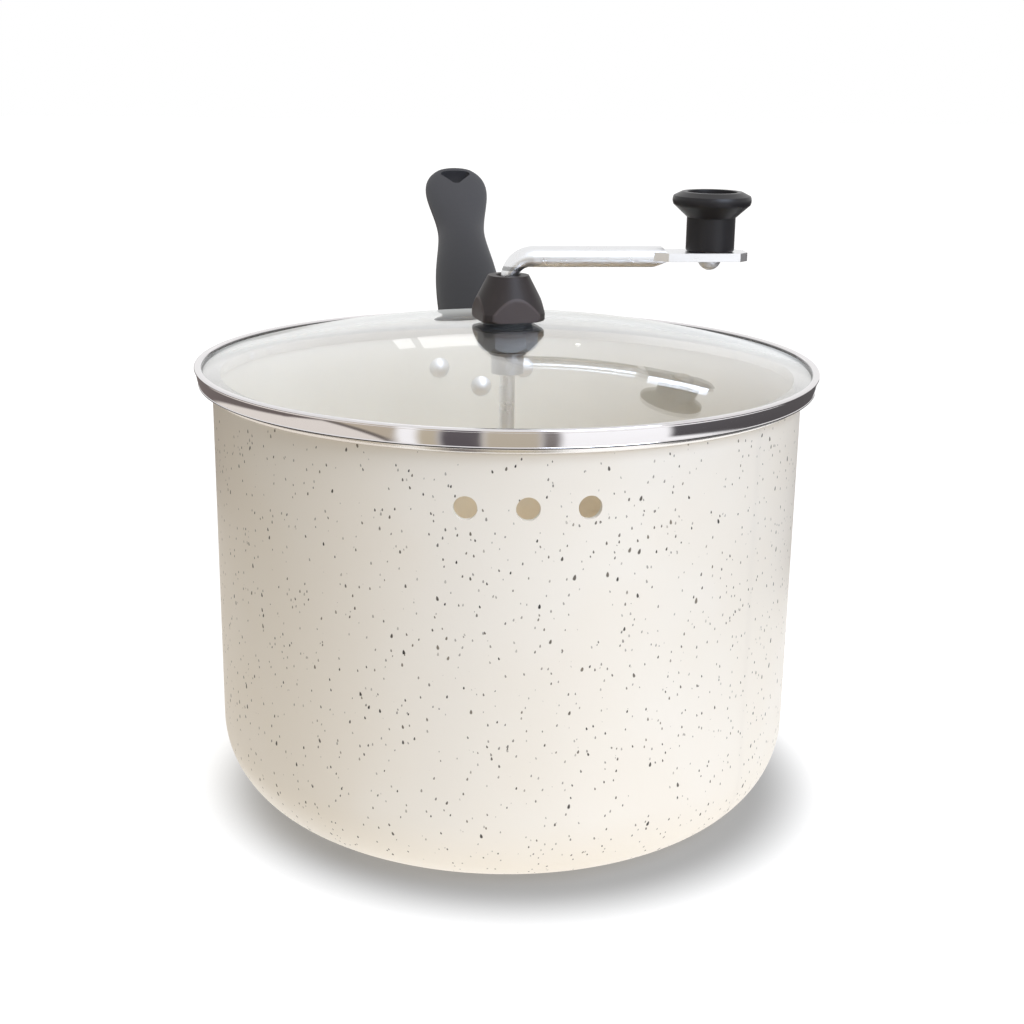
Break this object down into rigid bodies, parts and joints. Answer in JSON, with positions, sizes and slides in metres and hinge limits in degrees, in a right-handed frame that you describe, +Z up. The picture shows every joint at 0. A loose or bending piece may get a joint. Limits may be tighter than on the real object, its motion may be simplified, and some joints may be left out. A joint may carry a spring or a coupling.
{
  "type": "stovetop popcorn popper",
  "caption": "Deep lidded pot with a long handle, a domed glass lid and a hand crank that turns a stirrer inside, for popping corn on a stove.",
  "frame": {"origin": "centre of the pot's flat underside, on the pot's axis", "axes": "+Z up along the pot's axis, +Y along the long handle away from the pot, +X along the crank arm at rest"},
  "size_m": [0.237, 0.3979, 0.2363],
  "materials": {
    "coated_aluminium": "cream speckled coating, satin",
    "cast_aluminium": "satin cast",
    "rivet_aluminium": "bright",
    "guard_steel": "brushed",
    "handle_bakelite": "charcoal bakelite, satin",
    "fastener_steel": "plain",
    "tempered_glass": "clear, polished",
    "rim_steel": "mirror polished",
    "knob_phenolic": "brown-black phenolic",
    "grip_phenolic": "black phenolic, semi-gloss",
    "gasket_rubber": "soft silicone",
    "bush_brass": "machined",
    "crank_aluminium": "bright satin",
    "stirrer_steel": "brushed stainless"
  },
  "bodies": {
    "pot": {"pot_shell": "coated_aluminium", "handle_bracket": "cast_aluminium", "bracket_rivets": "rivet_aluminium", "bracket_stud": "rivet_aluminium", "flame_guard": "guard_steel", "long_handle": "handle_bakelite", "handle_screw": "fastener_steel"},
    "lid": {"lid_glass": "tempered_glass", "lid_rim_band": "rim_steel", "knob_gasket": "gasket_rubber", "lid_knob": "knob_phenolic", "knob_bush": "bush_brass", "lower_gasket": "gasket_rubber", "lid_washer": "knob_phenolic", "lid_nut": "knob_phenolic"},
    "crank": {"crank_rod": "crank_aluminium", "thrust_washer": "fastener_steel", "stop_collar": "fastener_steel", "collar_screw": "fastener_steel", "stirrer_hub": "stirrer_steel", "stirrer_blade_front": "stirrer_steel", "stirrer_blade_back": "stirrer_steel", "hub_pin": "fastener_steel", "grip_rivet": "rivet_aluminium", "grip_washer": "fastener_steel"},
    "grip": {"crank_grip": "grip_phenolic"}
  },
  "joints": [
    {"name": "lid_lift", "type": "slide", "parent": "pot", "child": "lid", "axis": [0, 0, 1], "range_m": [0, 0.19]},
    {"name": "crank_turn", "type": "hinge", "parent": "lid", "child": "crank", "pos_m": [0, 0, 0.20492], "axis": [0, 0, 1], "continuous": true},
    {"name": "grip_spin", "type": "hinge", "parent": "crank", "child": "grip", "pos_m": [0.0773, 0, 0.21402], "axis": [0, 0, 1], "continuous": true}
  ]
}
